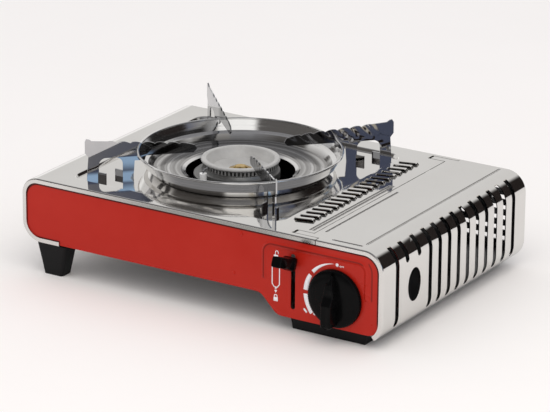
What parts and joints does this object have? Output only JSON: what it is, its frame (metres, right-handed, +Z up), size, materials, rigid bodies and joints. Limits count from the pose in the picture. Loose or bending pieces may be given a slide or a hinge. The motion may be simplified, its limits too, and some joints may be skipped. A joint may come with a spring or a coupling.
{
  "type": "camping gas stove",
  "caption": "Portable flat gas stove with red front, polished top, lift-off toothed pan support, slotted hinged cartridge lid, lock lever and control knob.",
  "frame": {"origin": "on the table, under the middle of the whole stove, lever cap included", "axes": "+X to the right along the front, toward the cartridge bay; +Y to the back; +Z up"},
  "size_m": [0.345, 0.261, 0.1145],
  "materials": {
    "stainless": "polished",
    "trivet_steel": "mirror",
    "red_paint": "satin gloss",
    "zinc_sheet": "satin",
    "black_plastic": "fine matt",
    "cast_aluminium": "as cast",
    "brass": "machined",
    "steel": "plain",
    "ceramic": "glazed",
    "rubber": "matt",
    "piezo_plastic": "gloss"
  },
  "bodies": {
    "case": {"case_wrap": "stainless", "base_pan": "zinc_sheet", "front_panel": "red_paint", "rear_panel": "zinc_sheet", "partition": "zinc_sheet", "hinge_brackets": "zinc_sheet", "hinge_pins": "steel", "foot_front_left": "black_plastic", "foot_front_right": "black_plastic", "foot_rear_left": "black_plastic", "foot_rear_right": "black_plastic", "foot_screws": "steel", "burner_stand": "zinc_sheet", "burner_base": "cast_aluminium", "burner_ring": "cast_aluminium", "burner_cap": "brass", "burner_screws": "steel", "mixing_tube": "zinc_sheet", "gas_pipe": "brass", "jet": "brass", "regulator_body": "cast_aluminium", "regulator_cap": "zinc_sheet", "inlet_seal": "rubber", "piezo_igniter": "piezo_plastic", "ignition_lead": "rubber", "electrode_insulator": "ceramic", "electrode": "steel", "lever_pin": "steel", "slider_guides": "steel"},
    "lid_cover": {"lid": "stainless"},
    "control": {"knob": "black_plastic", "valve_stem": "steel"},
    "lever": {"lock_lever": "steel", "lever_cap": "black_plastic"},
    "pusher": {"slider": "zinc_sheet"},
    "pan_support": {"trivet_dish": "trivet_steel", "trivet_fin_1": "trivet_steel", "trivet_fin_2": "trivet_steel", "trivet_fin_3": "trivet_steel", "trivet_fin_4": "trivet_steel"}
  },
  "joints": [
    {"name": "lid_hinge", "type": "hinge", "parent": "case", "child": "lid_cover", "pos_m": [0.0885, 0.013, 0.0804], "axis": [0, -1, 0], "range_deg": [0, 100]},
    {"name": "knob_turn", "type": "hinge", "parent": "case", "child": "control", "pos_m": [0.1291, -0.11, 0.0373], "axis": [0, -1, 0], "range_deg": [0, 130]},
    {"name": "lever_swing", "type": "hinge", "parent": "case", "child": "lever", "pos_m": [0.0895, -0.0695, 0.045], "axis": [1, 0, 0], "range_deg": [0, 45]},
    {"name": "slider_travel", "type": "slide", "parent": "case", "child": "pusher", "axis": [0, -1, 0], "range_m": [0, 0.0085]},
    {"name": "pan_support_lift", "type": "slide", "parent": "case", "child": "pan_support", "axis": [0, 0, 1], "range_m": [0, 0.06]}
  ],
  "couplings": [
    {"joint": "slider_travel", "follows": "lever_swing", "m_per_rad": 0.01072}
  ]
}
